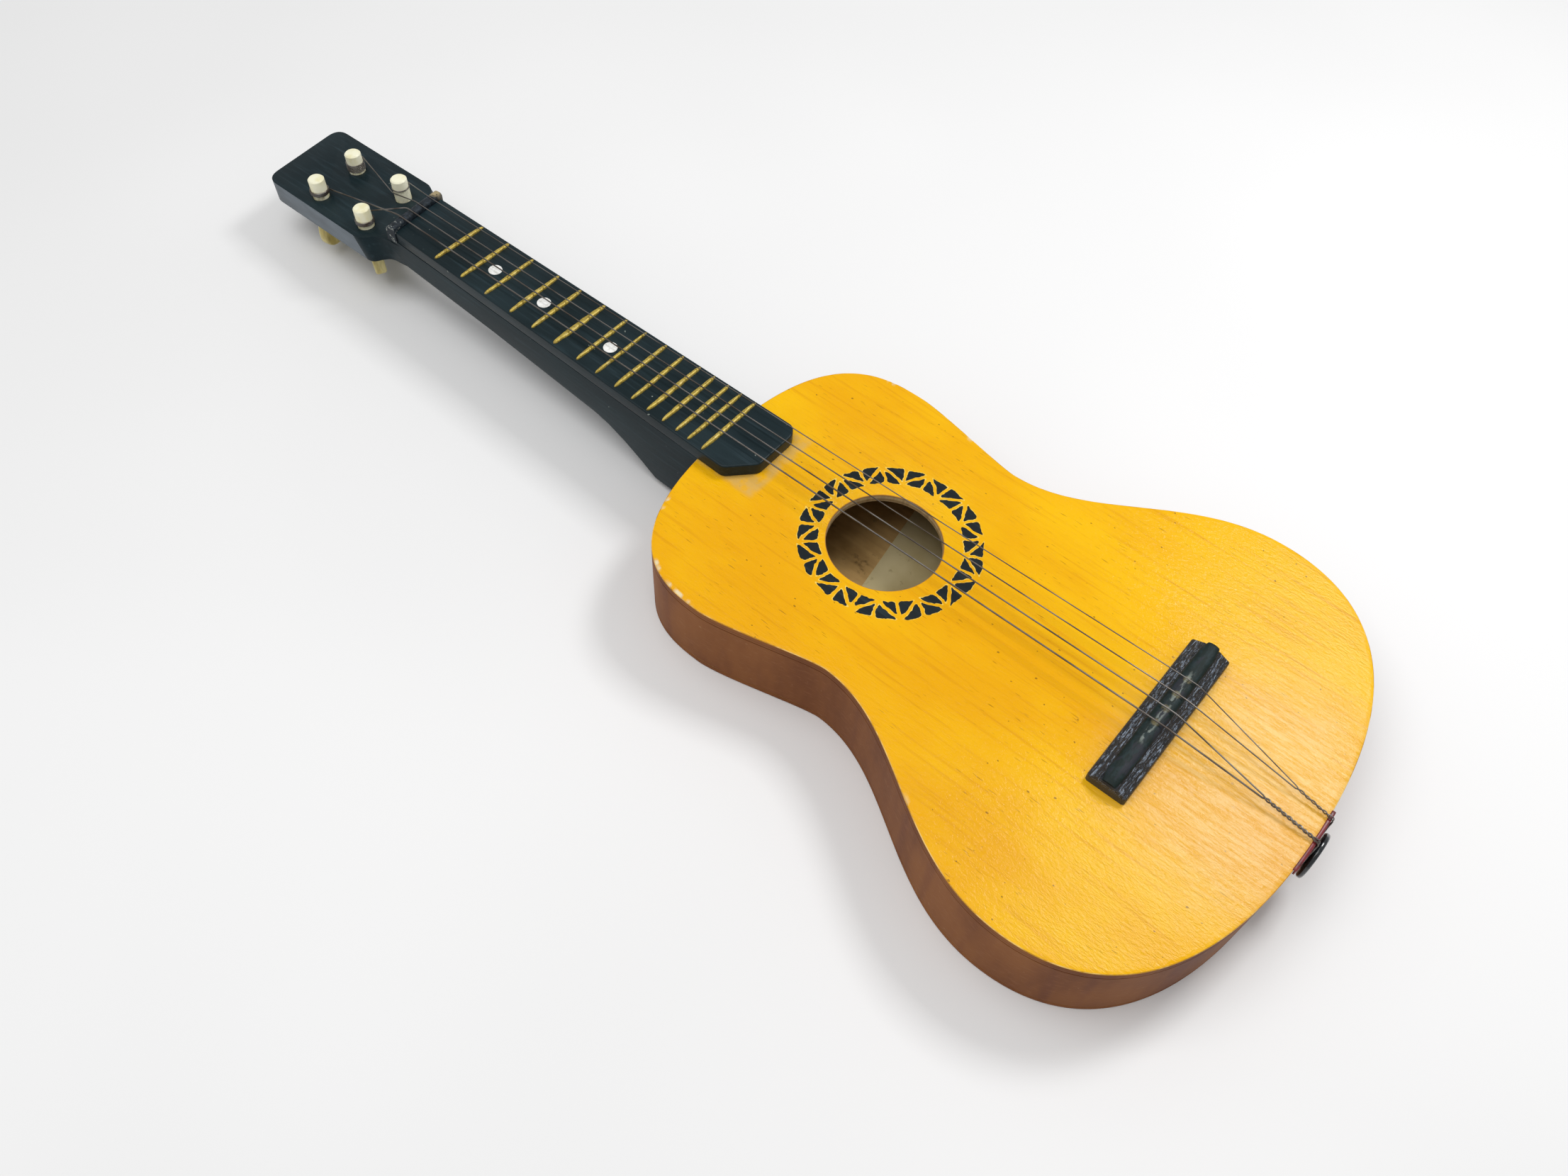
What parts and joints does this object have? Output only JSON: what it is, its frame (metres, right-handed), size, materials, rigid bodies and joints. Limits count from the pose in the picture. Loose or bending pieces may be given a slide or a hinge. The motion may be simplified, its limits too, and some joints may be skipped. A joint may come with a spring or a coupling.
{
  "type": "small four-string guitar",
  "caption": "Small deep-waisted plywood guitar with a flat back, fretted black neck, friction pegs, a loose bridge and an end button that holds the strings.",
  "frame": {"origin": "on the outer face of the back, on the neck's centre line, under the middle of the stencilled ring round the soundhole", "axes": "+Y along the neck towards the head, +X towards the treble side, +Z out of the soundboard"},
  "size_m": [0.2315, 0.6223, 0.0518],
  "materials": {
    "varnished_top": "golden yellow varnish, satin gloss, worn at the edges",
    "brown_ribs": "thin brown stain, matt",
    "raw_wood": "bare plywood and blocks, matt",
    "black_paint": "blue-black paint, satin, scuffed on the edges",
    "fret_gold": "aged gold, dull",
    "white_dot": "white, smooth",
    "steel_string": "plain drawn wire",
    "ivory_peg": "ivory, yellowed on the grips",
    "red_strip": "dark red, smooth",
    "black_button": "black, glossy",
    "steel_screw": "plain steel, slightly dull",
    "paper": "aged paper, blank"
  },
  "bodies": {
    "body": {"back_panel": "brown_ribs", "rib_bass": "brown_ribs", "rib_treble": "brown_ribs", "neck_block": "raw_wood", "tail_block": "raw_wood", "lining_top_bass": "raw_wood", "lining_top_treble": "raw_wood", "lining_back_bass": "raw_wood", "lining_back_treble": "raw_wood", "soundboard_brace_1": "raw_wood", "soundboard_brace_2": "raw_wood", "soundboard_brace_3": "raw_wood", "back_brace_1": "raw_wood", "back_brace_2": "raw_wood", "label": "paper", "soundboard": "varnished_top", "neck": "black_paint", "neck_screw": "steel_screw", "fretboard": "black_paint", "fret_01": "fret_gold", "fret_02": "fret_gold", "fret_03": "fret_gold", "fret_04": "fret_gold", "fret_05": "fret_gold", "fret_06": "fret_gold", "fret_07": "fret_gold", "fret_08": "fret_gold", "fret_09": "fret_gold", "fret_10": "fret_gold", "fret_11": "fret_gold", "fret_12": "fret_gold", "fret_13": "fret_gold", "fret_14": "fret_gold", "fret_15": "fret_gold", "position_dot_1": "white_dot", "position_dot_2": "white_dot", "position_dot_3": "white_dot", "nut": "black_paint", "string_1": "steel_string", "string_2": "steel_string", "string_3": "steel_string", "string_4": "steel_string", "tail_saddle": "red_strip", "end_button": "black_button", "end_button_screw": "steel_screw"},
    "bridge_unit": {"bridge": "black_paint", "saddle": "black_paint"},
    "peg_unit_1": {"peg_1": "ivory_peg", "string_winding_1": "steel_string"},
    "peg_unit_2": {"peg_2": "ivory_peg", "string_winding_2": "steel_string"},
    "peg_unit_3": {"peg_3": "ivory_peg", "string_winding_3": "steel_string"},
    "peg_unit_4": {"peg_4": "ivory_peg", "string_winding_4": "steel_string"}
  },
  "joints": [
    {"name": "bridge_slide", "type": "slide", "parent": "body", "child": "bridge_unit", "axis": [0, 1, 0], "range_m": [-0.003, 0.003]},
    {"name": "peg_turn_1", "type": "hinge", "parent": "body", "child": "peg_unit_1", "pos_m": [0.0105, 0.33096, 0.03822], "axis": [0, 0.061, 0.9981], "continuous": true},
    {"name": "peg_turn_2", "type": "hinge", "parent": "body", "child": "peg_unit_2", "pos_m": [0.0104, 0.36889, 0.0359], "axis": [0, 0.061, 0.9981], "continuous": true},
    {"name": "peg_turn_3", "type": "hinge", "parent": "body", "child": "peg_unit_3", "pos_m": [-0.0165, 0.32896, 0.03834], "axis": [0, 0.061, 0.9981], "continuous": true},
    {"name": "peg_turn_4", "type": "hinge", "parent": "body", "child": "peg_unit_4", "pos_m": [-0.016, 0.36639, 0.03605], "axis": [0, 0.061, 0.9981], "continuous": true}
  ]
}
